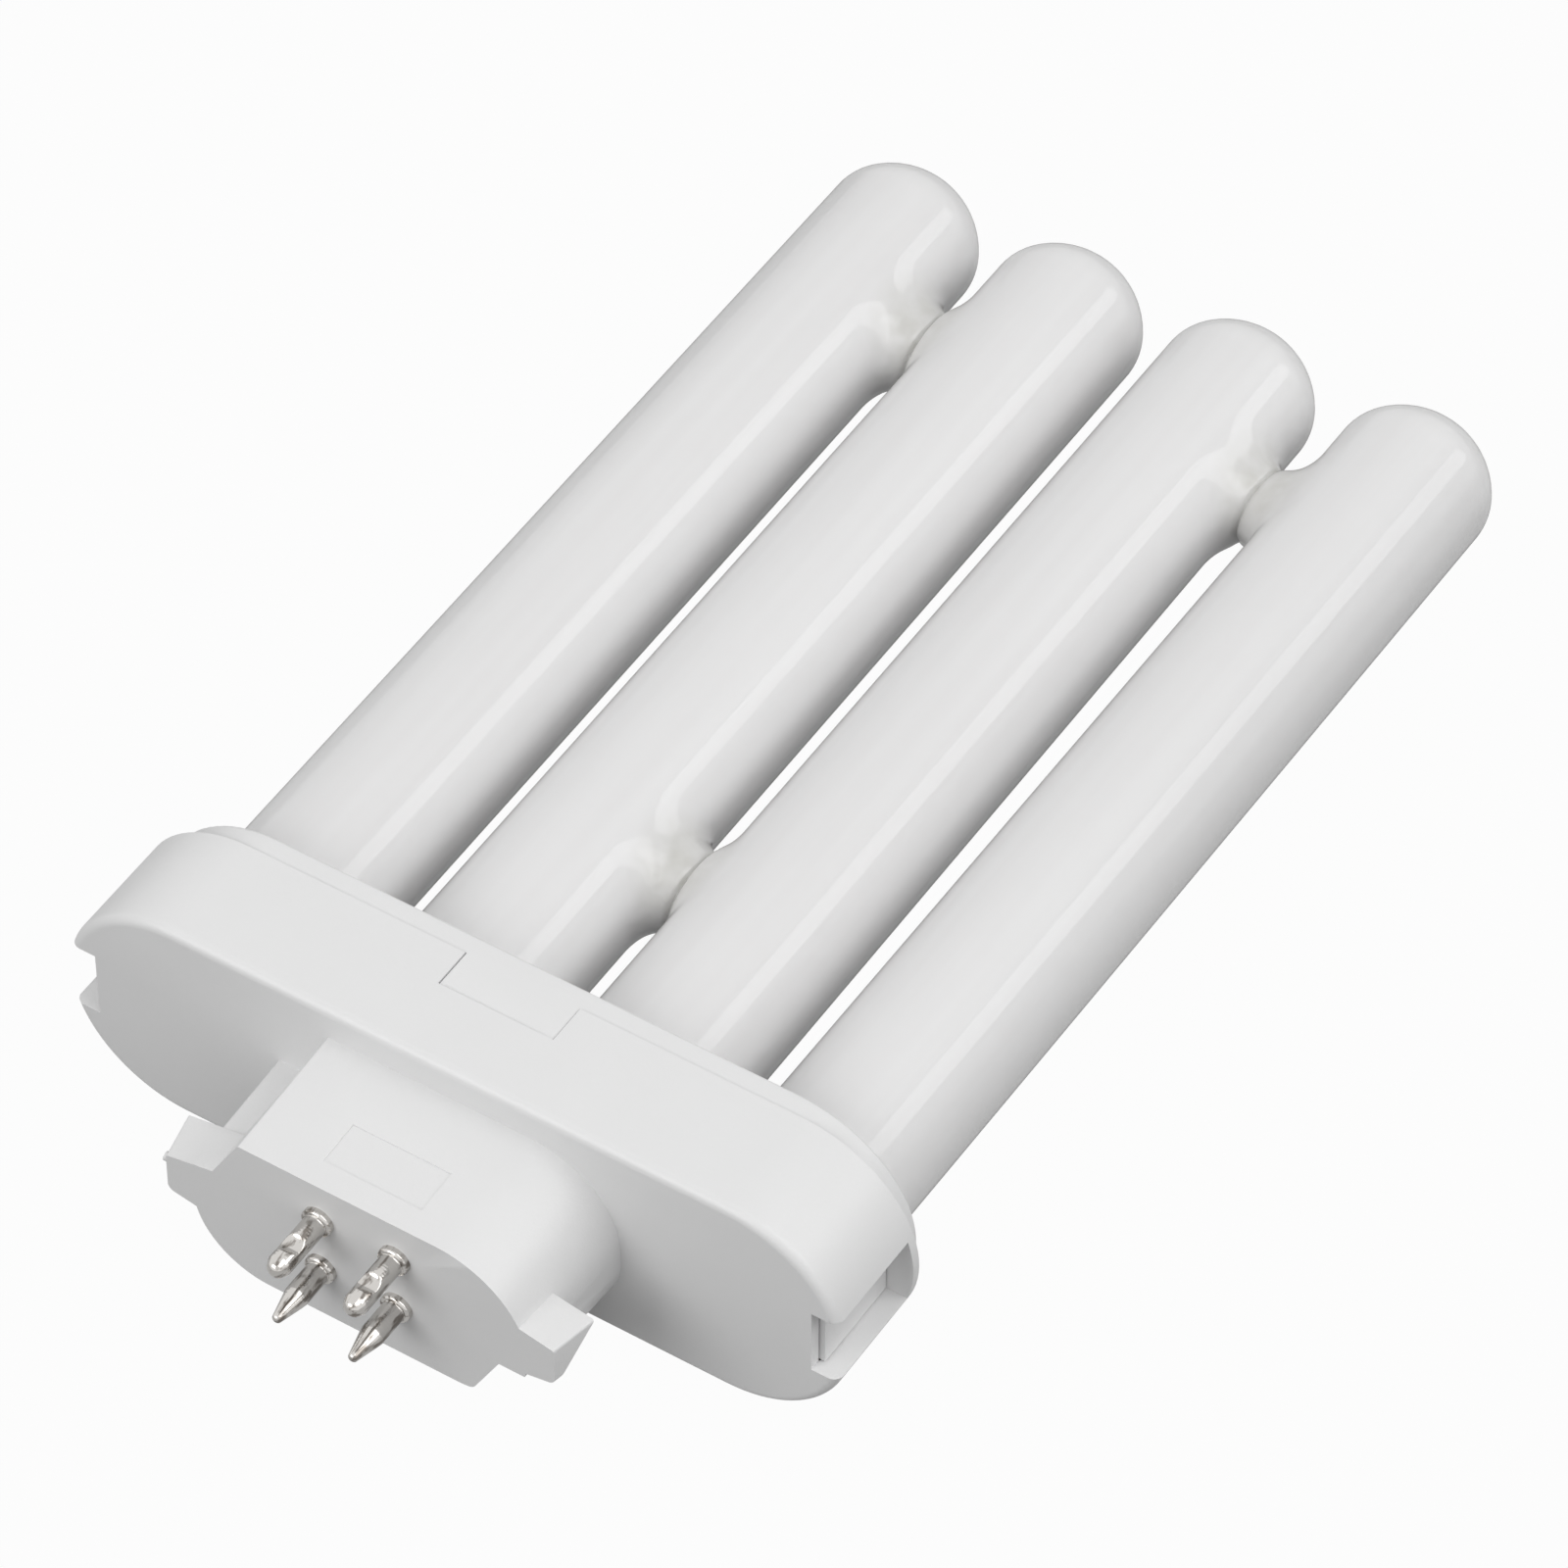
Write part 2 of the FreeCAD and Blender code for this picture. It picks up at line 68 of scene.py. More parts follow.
def newMaterial(name):
    # An empty node material.
    material = bpy.data.materials.new(name)
    material.use_nodes = True
    material.node_tree.nodes.clear()
    return material


def finishMaterial(material, shader):
    # Joins the shader to the material's output.
    addNode(material, "ShaderNodeOutputMaterial", links={"Surface": shader.outputs[0]})
    return material


def meshFromGrid(name, points, closed, material):
    # Puts an array of points [rows, columns, 3] in millimetres into a mesh of quads.
    # A closed grid joins its last column to its first.
    rows, columns = points.shape[:2]
    index = np.arange(rows * columns).reshape(rows, columns)
    after = np.roll(index, -1, axis=1) if closed else index[:, 1:]
    here = index if closed else index[:, :-1]
    faces = np.stack([here[:-1], after[:-1], after[1:], here[1:]], axis=-1).reshape(-1, 4)
    mesh = bpy.data.meshes.new(name)
    mesh.from_pydata((points.reshape(-1, 3) * mm).tolist(), [], faces.tolist())
    mesh.materials.append(material)
    return mesh


def finishMesh(mesh, mergeDistance=0.002):
    # Merges doubles, drops what has no area, points the faces outwards and shades smooth.
    work = bmesh.new()
    work.from_mesh(mesh)
    bmesh.ops.remove_doubles(work, verts=work.verts, dist=mergeDistance * mm)
    bmesh.ops.dissolve_degenerate(work, edges=work.edges, dist=mergeDistance * mm)
    bmesh.ops.recalc_face_normals(work, faces=work.faces)
    work.to_mesh(mesh)
    work.free()
    mesh.shade_smooth()
    return mesh


def addPiece(name, mesh, nodes):
    # Puts a finished mesh in the scene in the place of the CAD nodes that it stands for.
    piece = bpy.data.objects.new(name, mesh)
    bpy.context.scene.collection.objects.link(piece)
    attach(piece, "root")
    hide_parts(*nodes)
    return piece


# Glass envelope: four blown legs joined by three fused necks

glass = {
    "radius": 7.95,
    "pitch": 18.8,
    "leans": (0, 0, 0, 0.4),   # degrees, about the holder's rim
    "rimY": 28.0,
    "tips": (138.3, 137.4, 137.4, 136.5),
    "innerFootY": 20.2,
    "outerFootY": 21.0,
    "tipRound": 5.1,
    "tipDomeAngle": 59.7,
    "footRound": 4.0,
    "footDomeAngle": 29.6,
    # Each neck is the leg on its left, its y, and how far its crease stands to the right.
    "necks": ((0, 120.1, 0.8), (1, 51.1, 0.8), (2, 119.8, -0.5)),
    "offset": 0.2,             # the legs stand a little to the right in their sockets
    "neckRadius": 3.65,
    "neckBlend": 3.6,          # how far the molten glass rounds the joint
    "blendSkew": 0.05,         # how much further it does so on the left leg
    "creaseDepth": 0.3,
    "creaseWidth": 0.22,
    "creaseTilt": 0.3,         # the crease leans to the right towards the tips and the top
    "sealWidth": 11.0,
    "sealThickness": 3.6,
    "sealLength": 4.4,
    "sealY": 17.4,
    # The mesh near a neck: how far along and up from the neck's axis its opening may reach, and
    # how far past it and round the leg the blend and the crowded rows and columns go.
    "openReachY": 8.0,
    "openReachZ": 7.0,
    "blendPastNeck": 5.0,
    "blendArc": 75,
    "rowsPastNeck": 4.2,
    "columnArc": 45.0,
    "leastCosine": 0.25,       # keeps the rays' limits finite outside the blend
    "meetTolerance": 0.004,
}


def legAxis(index, y):
    # x of a leg's axis: its place in the row, plus the tangent of its lean times the way from the
    # holder's rim.
    lean = math.radians(glass["leans"][index])
    return (index - 1.5) * glass["pitch"] + glass["offset"] + math.tan(lean) * (y - glass["rimY"])


def legNecks(index):
    # Necks of a leg as (side, y, crease): side is 1 towards +X and -1 towards -X.
    touching = [neck for neck in glass["necks"] if index - neck[0] in (0, 1)]
    return [(1 if left == index else -1, y, crease) for left, y, crease in touching]


def blownEnd(radius, endY, roundRadius, domeAngle, out, steps):
    # Profile (radius, y) of a blown end: a shoulder of one radius, then a spherical dome that is
    # tangent to it and centred on the axis. The dome reaches domeAngle from the axis.
    inset = radius - roundRadius
    lean = math.radians(domeAngle)
    domeRadius = roundRadius + inset / math.sin(lean)
    shoulderY = endY - out * (domeRadius - (domeRadius - roundRadius) * math.cos(lean))
    turn = np.linspace(0, math.pi / 2 - lean, steps)
    shoulder = np.stack([
        inset + roundRadius * np.cos(turn),
        shoulderY + out * roundRadius * np.sin(turn),
    ], 1)
    fall = np.linspace(lean, 0, steps)[1:]
    dome = np.stack([domeRadius * np.sin(fall), endY - out * domeRadius * (1 - np.cos(fall))], 1)
    return np.concatenate([shoulder, dome])


def creaseShift(y, z, crease):
    # How far the surface where two legs meet stands to the right of the plane halfway between
    # them: a tilted plane through the neck's crease.
    return crease + glass["creaseTilt"] * np.clip((y + z) / glass["neckRadius"], -1.2, 1.2)


def skinValue(x, y, z, radius, half, side, crease):
    # Less than nothing inside the glass. x is from the leg's axis towards its neighbour and y from
    # the neck's axis. It is the smaller of the distances to leg and neck, less k/4 times the square
    # of how nearly equal they are, which rounds the joint, plus a bell-shaped groove at the crease.
    # Beyond the leg's wall x is stretched so that both legs have the same value where they meet.
    gap = half - glass["radius"]
    shift = side * creaseShift(y, z, crease)
    beyond = np.maximum(x - glass["radius"], 0)
    toLeg = np.hypot(x + beyond * (gap / (gap + shift) - 1), z) - radius
    toNeck = np.hypot(y, z) - glass["neckRadius"]
    left = half + shift - x
    k = glass["neckBlend"] * (1 + side * glass["blendSkew"] * np.clip(left / gap, 0, 1))
    equal = np.maximum(1 - np.abs(toLeg - toNeck) / k, 0)
    groove = glass["creaseDepth"] * np.exp(-(left / glass["creaseWidth"]) ** 2)
    return np.minimum(toLeg, toNeck) - equal ** 2 * k / 4 + groove


def openingValue(y, z, half, side, crease):
    # skinValue of the plain leg in the surface where it meets its neighbour. It rises through
    # nothing at the edge of the neck's opening.
    x = half + side * creaseShift(y, z, crease)
    return skinValue(x, y, z, glass["radius"], half, side, crease)


def firstZero(value, low, high):
    # Where a rising function of an array passes nothing, found by halving thirty times.
    for step in range(30):
        middle = (low + high) / 2
        inside = value(middle) < 0
        low = np.where(inside, middle, low)
        high = np.where(inside, high, middle)
    return (low + high) / 2


def neckRows(index, side, neckY, crease):
    # Rows of y through a neck: crowded at its two ends, where its side turns, then spreading
    # along the leg.
    half = glass["pitch"] / 2
    ends = []
    for out in (-1, 1):
        end = firstZero(
            lambda v: openingValue(out * v, 0.0, half, side, crease),
            0.0,
            glass["openReachY"],
        )
        ends.append(float(end))
    turn = np.sin(np.linspace(-math.pi / 2, math.pi / 2, 31))
    within = np.where(turn < 0, ends[0], ends[1]) * turn
    beyond = glass["rowsPastNeck"] * np.linspace(0, 1, 15)[1:] ** 1.5
    return neckY + np.concatenate([-ends[0] - beyond[::-1], within, ends[1] + beyond])


def legRows(index):
    # All rows of a leg as (profile radius, y), from the foot's pole to the tip's pole.
    outer = index in (0, 3)
    footY = glass["outerFootY"] if outer else glass["innerFootY"]
    tipY = glass["tips"][index]
    foot = blownEnd(glass["radius"], footY, glass["footRound"], glass["footDomeAngle"], -1, 7)[::-1]
    tip = blownEnd(glass["radius"], tipY, glass["tipRound"], glass["tipDomeAngle"], 1, 15)
    rows = [foot]
    for side, neckY, crease in sorted(legNecks(index), key=lambda neck: neck[1]):
        start = rows[-1][-1, 1]
        inner = neckRows(index, side, neckY, crease)
        fill = np.linspace(start, inner[0], max(2, int((inner[0] - start) / 4)))[1:-1]
        straight = np.concatenate([fill, inner])
        rows.append(np.stack([np.full(len(straight), glass["radius"]), straight], 1))
    start = rows[-1][-1, 1]
    fill = np.linspace(start, tip[0, 1], max(3, int((tip[0, 1] - start) / 3)))[1:-1]
    rows.append(np.stack([np.full(len(fill), glass["radius"]), fill], 1))
    rows.append(tip)
    return np.concatenate(rows)


def legSurface(index):
    # One leg as a grid of rows along Y and columns round its axis.
    # Each point lies on a ray from the axis: on the plain leg at the profile's radius, and near a
    # neck where skinValue is nothing. The ray stops at the tilted plane of the crease, where the
    # two legs meet. The columns follow the edge of the neck's opening in that plane and are crowded
    # beside it.
    rows = legRows(index)
    radius = rows[:, 0][:, None]
    y = rows[:, 1][:, None]
    axis = np.array([legAxis(index, v) for v in rows[:, 1]])[:, None]
    arc = glass["columnArc"]
    spread = np.linspace(0, 1, 17)[1:] ** 1.7
    plain = np.linspace(arc, 180 - arc, 37)[1:-1]
    opened = {(side, up): np.zeros_like(y) for side in (1, -1) for up in (1, -1)}
    for side, neckY, crease in legNecks(index):
        half = midPlane(index, side, y, axis)
        for up in (1, -1):
            height = firstZero(
                lambda v: openingValue(y - neckY, up * v, half, side, crease),
                np.zeros_like(y),
                np.full_like(y, glass["openReachZ"]),
            )
            height = np.where(height < 1e-3, 0, height)
            aside = half + side * creaseShift(y - neckY, up * height, crease)
            turn = np.degrees(np.arctan(height / aside))
            opened[side, up] = np.maximum(opened[side, up], turn)
    full = np.repeat(plain[None, :], len(rows), 0)
    runs = []
    for up in (1, -1):
        right = opened[1, up] + (arc - opened[1, up]) * spread
        left = opened[-1, up] + (arc - opened[-1, up]) * spread
        run = [opened[1, up], right, full, 180 - left[:, ::-1], 180 - opened[-1, up]]
        runs.append(np.concatenate(run, 1))
    turns = [np.zeros_like(y), runs[0], np.full_like(y, 180), 360 - runs[1][:, ::-1]]
    angle = np.radians(np.concatenate(turns, 1))
    reach = np.repeat(radius, angle.shape[1], 1)
    for side, neckY, crease in legNecks(index):
        reach = blendWithNeck(reach, angle, y, axis, index, side, neckY, crease)
    along = np.repeat(y, angle.shape[1], 1)
    return np.stack([axis + reach * np.cos(angle), along, reach * np.sin(angle)], -1)


def midPlane(index, side, y, axis):
    # Distance from the leg's axis to the plane halfway to its neighbour.
    neighbour = np.array([legAxis(index + side, v) for v in y[:, 0]])[:, None]
    return np.abs(neighbour - axis) / 2


def blendWithNeck(reach, angle, y, axis, index, side, neckY, crease):
    # Moves the points near a neck along their rays to the blended skin. Where a ray meets the
    # tilted plane of the crease is found by going back and forth between the two.
    half = midPlane(index, side, y, axis)
    along = side * np.cos(angle)
    near = np.abs(y - neckY) < glass["neckRadius"] + glass["blendPastNeck"]
    near = near & (along > math.cos(math.radians(glass["blendArc"])))
    limit = half / np.maximum(along, glass["leastCosine"])
    for step in range(12):
        shift = side * creaseShift(y - neckY, limit * np.sin(angle), crease)
        limit = (half + shift) / np.maximum(along, glass["leastCosine"])
    limit = np.where(near, limit, reach)
    skin = firstZero(
        lambda v: skinValue(v * along, y - neckY, v * np.sin(angle), reach, half, side, crease),
        np.full_like(limit, 2.0),
        limit,
    )
    return np.where(near, skin, reach)


def dropMeetingFaces(mesh):
    # Removes the faces where two legs meet inside a neck, so that the necks are open inside and
    # join the legs in one skin.
    work = bmesh.new()
    work.from_mesh(mesh)
    drop = []
    for left, neckY, crease in glass["necks"]:
        for face in work.faces:
            if abs(face.verts[0].co.y / mm - neckY) > glass["openReachY"]:
                continue
            offsets = []
            for vert in face.verts:
                x, y, z = vert.co / mm
                middle = (legAxis(left, y) + legAxis(left + 1, y)) / 2
                offsets.append(abs(x - middle - creaseShift(y - neckY, z, crease)))
            if max(offsets) < glass["meetTolerance"]:
                drop.append(face)
    bmesh.ops.delete(work, geom=drop, context="FACES")
    work.to_mesh(mesh)
    work.free()


def sealGrid(index):
    # Pressed seal at the foot of an outer leg: a rounded rectangle carried along Y, drawn to a
    # point at both ends. Its section is a superellipse of the fourth power.
    turn = np.linspace(0, 2 * math.pi, 40, endpoint=False)
    y = np.array([0, 0, 0.3, 2.0, glass["sealLength"], glass["sealLength"]]) + glass["sealY"]
    size = np.array([0, 0.94, 1, 1, 1, 0])
    x = np.sign(np.cos(turn)) * np.abs(np.cos(turn)) ** 0.5 * glass["sealThickness"] / 2
    z = np.sign(np.sin(turn)) * np.abs(np.sin(turn)) ** 0.5 * glass["sealWidth"] / 2
    axis = legAxis(index, glass["sealY"])
    points = np.zeros((len(y), len(turn), 3))
    points[:, :, 0] = axis + size[:, None] * x
    points[:, :, 1] = y[:, None]
    points[:, :, 2] = size[:, None] * z
    return points


def joinMeshes(name, meshes):
    # Joins meshes of one material into one.
    work = bmesh.new()
    for mesh in meshes:
        work.from_mesh(mesh)
    joined = bpy.data.meshes.new(name)
    work.to_mesh(joined)
    work.free()
    joined.materials.append(meshes[0].materials[0])
    return joined


def coatedGlass():
    # Clear soda-lime glass over a white phosphor coat inside: the eye sees soft matt white under
    # a sharp clear gloss, with faint streaks 3 mm apart where the coat ran along the leg and a
    # greyer tone where the burner stained it at the necks. Painted shade: towards the outline the
    # coat's colour is mixed to dark grey, and its gloss is lowered there.
    material = newMaterial("coatedGlass")
    place = addNode(material, "ShaderNodeTexCoord")
    stretchedPlace = addNode(
        material,
        "ShaderNodeMapping",
        {"Scale": (1.0, 0.04, 1.0)},
        {"Vector": place.outputs["Object"]},
    )
    cloud = addNode(
        material,
        "ShaderNodeTexNoise",
        {"Scale": 300.0, "Detail": 3.0, "Roughness": 0.5},
        {"Vector": stretchedPlace.outputs["Vector"]},
    )
    tint = addNode(material, "ShaderNodeMix", {"data_type": "RGBA"}, {0: cloud.outputs["Fac"]})
    tint.inputs[6].default_value = linearColour("#E6E6E6")
    tint.inputs[7].default_value = linearColour("#DAD9D9")
    coat = tint.outputs[2]
    blotch = addNode(
        material,
        "ShaderNodeTexNoise",
        {"Scale": 420.0, "Detail": 2.0},
        {"Vector": place.outputs["Object"]},
    )
    for left, y, _ in glass["necks"]:
        # The stain is full within 2.5 mm of a point 2 mm above the neck's middle, and has faded
        # out 6.5 mm from there.
        middle = (legAxis(left, y) + legAxis(left + 1, y)) / 2
        centre = (middle * mm, y * mm, 2 * mm)
        away = addNode(
            material,
            "ShaderNodeVectorMath",
            {"operation": "DISTANCE", 1: centre},
            {0: place.outputs["Object"]},
        )
        near = addNode(
            material,
            "ShaderNodeMapRange",
            {"From Min": 6.5 * mm, "From Max": 2.5 * mm},
            {"Value": away.outputs["Value"]},
        )
        burnt = addNode(
            material,
            "ShaderNodeMath",
            {"operation": "MULTIPLY"},
            {0: near.outputs["Result"], 1: blotch.outputs["Fac"]},
        )
        stain = addNode(
            material,
            "ShaderNodeMix",
            {"data_type": "RGBA"},
            {0: burnt.outputs[0], 6: coat},
        )
        stain.inputs[7].default_value = linearColour("#BFBEB8")
        coat = stain.outputs[2]
    ripple = addNode(
        material,
        "ShaderNodeTexNoise",
        {"Scale": 90.0, "Detail": 1.0},
        {"Vector": place.outputs["Object"]},
    )
    wave = addNode(
        material,
        "ShaderNodeBump",
        {"Strength": 0.05, "Distance": 0.6 * mm},
        {"Height": ripple.outputs["Fac"]},
    )
    # Painted shade: the coat's colour is mixed to dark grey #8C8A89 as the surface turns away from
    # the eye, darkening the outline.
    turned = addNode(material, "ShaderNodeLayerWeight", {"Blend": 0.5})
    outlineShadeMask = addNode(
        material,
        "ShaderNodeMapRange",
        {"interpolation_type": "SMOOTHSTEP", "From Min": 0.8, "From Max": 1.0},
        {"Value": turned.outputs["Facing"]},
    )
    paintedOutlineShade = addNode(
        material,
        "ShaderNodeMix",
        {"data_type": "RGBA"},
        {0: outlineShadeMask.outputs["Result"], 6: coat},
    )
    paintedOutlineShade.inputs[7].default_value = linearColour("#8C8A89")
    gloss = addNode(
        material,
        "ShaderNodeMapRange",
        {"To Min": 0.85, "To Max": 0.15},
        {"Value": outlineShadeMask.outputs["Result"]},
    )
    shader = addNode(
        material,
        "ShaderNodeBsdfPrincipled",
        {
            "Roughness": 0.6,
            "Coat Roughness": 0.02,
            "Coat IOR": 1.5,
            "Specular IOR Level": 0.2,
            # Light that enters the white coat comes out again some millimetres away.
            "Subsurface Weight": 0.7,
            "Subsurface Radius": (1.0, 1.0, 1.0),
            "Subsurface Scale": 5 * mm,
        },
        {
            "Base Color": paintedOutlineShade.outputs[2],
            "Coat Weight": gloss.outputs["Result"],
            "Coat Normal": wave.outputs["Normal"],
        },
    )
    return finishMaterial(material, shader)


def makeGlass():
    # The legs and the pressed seals of the outer two, merged into one skin.
    material = coatedGlass()
    meshes = [meshFromGrid("leg%d" % i, legSurface(i), True, material) for i in range(4)]
    meshes += [meshFromGrid("seal%d" % i, sealGrid(i), True, material) for i in (0, 3)]
    mesh = joinMeshes("glassEnvelope", meshes)
    dropMeetingFaces(mesh)
    finishMesh(mesh)
    addPiece("glassEnvelope", mesh, ["discharge_tube"])
    print("glass envelope made:", len(mesh.polygons), "faces")


makeGlass()


# Cap shell and tube holder: white moulded plastic

cap = {
    "edgeRound": 0.18,
    "sharpAngle": 32,
    "flatAngle": 0.05,
    "mergeDistance": 0.0005,
    "grainHeight": 0.05,
    # Ramp under each locking wing, where the holder's spring clip snaps in behind it.
    "rampX": 17.75,
    "wingX": 23.0,
    "rampFront": (0.2, -3.4),
    "rampBack": (4.8, 1.4),
}


def mouldedPlastic(name, colour):
    # Glass-filled polyester moulded in a spark-eroded tool: an even matt white with a fine grain
    # that breaks up every reflection. The real grain is about 0.05 mm and is drawn at 0.25 mm.
    material = newMaterial(name)
    place = addNode(material, "ShaderNodeTexCoord")
    grain = addNode(
        material,
        "ShaderNodeTexNoise",
        {"Scale": 4000.0, "Detail": 2.0, "Roughness": 0.6},
        {"Vector": place.outputs["Object"]},
    )
    cloud = addNode(
        material,
        "ShaderNodeTexNoise",
        {"Scale": 120.0, "Detail": 2.0},
        {"Vector": place.outputs["Object"]},
    )
    tint = addNode(material, "ShaderNodeMix", {"data_type": "RGBA"}, {0: cloud.outputs["Fac"]})
    tint.inputs[6].default_value = linearColour(colour)
    tint.inputs[7].default_value = [0.975 * v for v in linearColour(colour)[:3]] + [1.0]
    rough = addNode(
        material,
        "ShaderNodeMapRange",
        {"To Min": 0.3, "To Max": 0.42},
        {"Value": grain.outputs["Fac"]},
    )
    bump = addNode(
        material,
        "ShaderNodeBump",
        {"Strength": 0.35, "Distance": cap["grainHeight"] * mm},
        {"Height": grain.outputs["Fac"]},
    )
    shader = addNode(
        material,
        "ShaderNodeBsdfPrincipled",
        {"IOR": 1.5},
        {
            "Base Color": tint.outputs[2],
            "Roughness": rough.outputs["Result"],
            "Normal": bump.outputs["Normal"],
        },
    )
    return finishMaterial(material, shader)


def mouldedCopy(node, name, material, cutters=()):
    # Copy of a CAD node's mesh with its flat faces made whole and its sharp edges rounded a
    # little, as a mould leaves them.
    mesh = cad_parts[node].data.copy()
    work = bmesh.new()
    work.from_mesh(mesh)
    bmesh.ops.remove_doubles(work, verts=work.verts, dist=cap["mergeDistance"] * mm)
    flat = math.radians(cap["flatAngle"])
    bmesh.ops.dissolve_limit(work, angle_limit=flat, verts=work.verts, edges=work.edges)
    work.to_mesh(mesh)
    work.free()
    for cutter in cutters:
        mesh = cutAway(mesh, cutter)
    mesh.name = name
    mesh.materials.clear()
    mesh.materials.append(material)
    mesh.shade_smooth()
    mesh.set_sharp_from_angle(angle=math.radians(cap["sharpAngle"]))
    piece = addPiece(name, mesh, [node])
    bevel = piece.modifiers.new("mouldRound", "BEVEL")
    bevel.width = cap["edgeRound"] * mm
    bevel.segments = 2
    bevel.limit_method = "ANGLE"
    bevel.angle_limit = math.radians(cap["sharpAngle"])
    bevel.harden_normals = True
    print(name, "made:", len(mesh.polygons), "faces")
    return piece


def wedgeUnderWing(side):
    # Prism with a three-cornered section in YZ. It reaches 0.1 mm past the ramp in front and 1 mm
    # past the wing's back and bottom.
    frontY, frontZ = cap["rampFront"]
    backY, backZ = cap["rampBack"]
    slope = (backZ - frontZ) / (backY - frontY)
    ends = [
        (frontY - 0.1, frontZ - 0.1 * slope),
        (backY + 1, backZ + slope),
        (backY + 1, frontZ - 1),
    ]
    work = bmesh.new()
    rows = []
    for x in (cap["rampX"], cap["wingX"]):
        rows.append([work.verts.new((side * x * mm, y * mm, z * mm)) for y, z in ends])
    work.faces.new(rows[0])
    work.faces.new(rows[1])
    for i in range(3):
        work.faces.new((rows[0][i - 1], rows[0][i], rows[1][i], rows[1][i - 1]))
    bmesh.ops.recalc_face_normals(work, faces=work.faces)
    mesh = bpy.data.meshes.new("wedge")
    work.to_mesh(mesh)
    work.free()
    return mesh


def cutAway(mesh, cutter):
    # The mesh less the cutter, both closed.
    whole = bpy.data.objects.new("whole", mesh)
    tool = bpy.data.objects.new("cutter", cutter)
    for part in (whole, tool):
        bpy.context.scene.collection.objects.link(part)
    cut = whole.modifiers.new("cut", "BOOLEAN")
    cut.operation = "DIFFERENCE"
    cut.solver = "EXACT"
    cut.object = tool
    evaluated = whole.evaluated_get(bpy.context.evaluated_depsgraph_get())
    result = bpy.data.meshes.new_from_object(evaluated)
    for part in (whole, tool):
        bpy.data.objects.remove(part)
    return result


def makeCap():
    shell = mouldedPlastic("mouldedShellPolyester", "#E3E3E3")
    holder = mouldedPlastic("mouldedHolderPolyester", "#E3E3E3")
    wedges = [wedgeUnderWing(-1), wedgeUnderWing(1)]
    mouldedCopy("cap_shell", "capShell", shell, wedges)
    mouldedCopy("tube_holder", "tubeHolder", holder)


makeCap()


# Contact pins: turned and nickel plated

pin = {
    "spacingX": 7.92,
    "spacingZ": 6.35,
    "radius": 1.15,
    "length": 7.1,
    "collarRadius": 1.55,
    "collarHeight": 0.7,
    "collarRound": 0.35,
    "bluntLength": 1.1,
    "bluntRadius": 0.85,
    "pointLength": 3.2,
    "pointRadius": 0.45,
    "crimpY": -4.1,
    "crimpRadius": 1.5,
    "crimpDepth": 0.5,
    "shankRadius": 1.35,
    "tailRadius": 1.65,
    "tailY": 3.2,
    "boreRadius": 0.5,
    "boreEndY": -1.8,
    "shankEndY": 2.0,
    "tailStep": 0.4,
    "corner": 0.06,            # width of the crisp bend at a corner
    "bulge": 0.10,             # how far the metal pressed in by the crimp swells sideways
    "barrelRows": 60,
    "sharpAngle": 50,
}


def pinProfile(blunt):
    # Profile (radius, y) of a pin, from the pole of its nose over the collar and the tail into
    # the bore. Corners are doubled so that they stay crisp, and the collar's edge is an arc.
    noseLength = pin["bluntLength"] if blunt else pin["pointLength"]
    noseRadius = pin["bluntRadius"] if blunt else pin["pointRadius"]
    sag = noseRadius / 2
    dome = (noseRadius ** 2 + sag ** 2) / (2 * sag)
    fall = np.linspace(0, math.asin(noseRadius / dome), 8)
    tip = np.stack([dome * np.sin(fall), dome * (1 - np.cos(fall)) - pin["length"]], 1)
    turn = np.linspace(0, math.pi / 2, 7)
    arcRadius = pin["collarRadius"] - pin["collarRound"] + pin["collarRound"] * np.sin(turn)
    arcY = -pin["collarHeight"] + pin["collarRound"] * (1 - np.cos(turn))
    # Seven rows on the cone and many on the barrel, where the crimp is.
    cone = np.stack([
        np.linspace(noseRadius, pin["radius"], 9)[1:-1],
        np.linspace(sag, noseLength, 9)[1:-1] - pin["length"],
    ], 1)
    start = noseLength - pin["length"] + pin["corner"]
    barrelY = np.linspace(start, -pin["collarHeight"] - pin["corner"], pin["barrelRows"])
    barrel = np.stack([np.full(pin["barrelRows"], pin["radius"]), barrelY], 1)
    rest = np.array([
        (pin["radius"] + 0.05, -pin["collarHeight"]),
        (pin["radius"] + 0.1, -pin["collarHeight"]),
    ])
    inside = np.array([
        (pin["collarRadius"], -0.05),
        (pin["collarRadius"], 0.0),
        (pin["shankRadius"], 0.0),
        (pin["shankRadius"], pin["shankEndY"]),
        (pin["tailRadius"], pin["tailY"] - pin["tailStep"]),
        (pin["tailRadius"], pin["tailY"]),
        (pin["boreRadius"], pin["tailY"]),
        (pin["boreRadius"], pin["boreEndY"]),
        (0.0, pin["boreEndY"]),
    ])
    return np.concatenate([tip, cone, barrel, rest, np.stack([arcRadius, arcY], 1), inside])


def pinGrid(x, z):
    # The profile turned about the pin's axis. The crimp is a round bar's dent: where the barrel
    # reaches past the bar's surface, it is pressed in to that surface.
    profile = pinProfile(z > 0)
    turn = np.linspace(0, 2 * math.pi, 64, endpoint=False)
    radius = profile[:, 0][:, None]
    y = profile[:, 1][:, None]
    sideways = radius * np.cos(turn)
    outward = radius * np.sin(turn)
    drop = pin["crimpRadius"] ** 2 - (y - pin["crimpY"]) ** 2
    centre = pin["radius"] - pin["crimpDepth"] + pin["crimpRadius"]
    floor = centre - np.sqrt(np.maximum(drop, 0))
    dented = (drop > 0) & (y < -pin["collarHeight"])
    pressed = np.where(dented, np.minimum(outward, floor), outward)
    bulge = 1 + pin["bulge"] * (outward - pressed) / pin["radius"]
    points = np.zeros(sideways.shape + (3,))
    points[..., 0] = x + sideways * bulge
    points[..., 1] = y
    points[..., 2] = z + math.copysign(1, z) * pressed
    return points


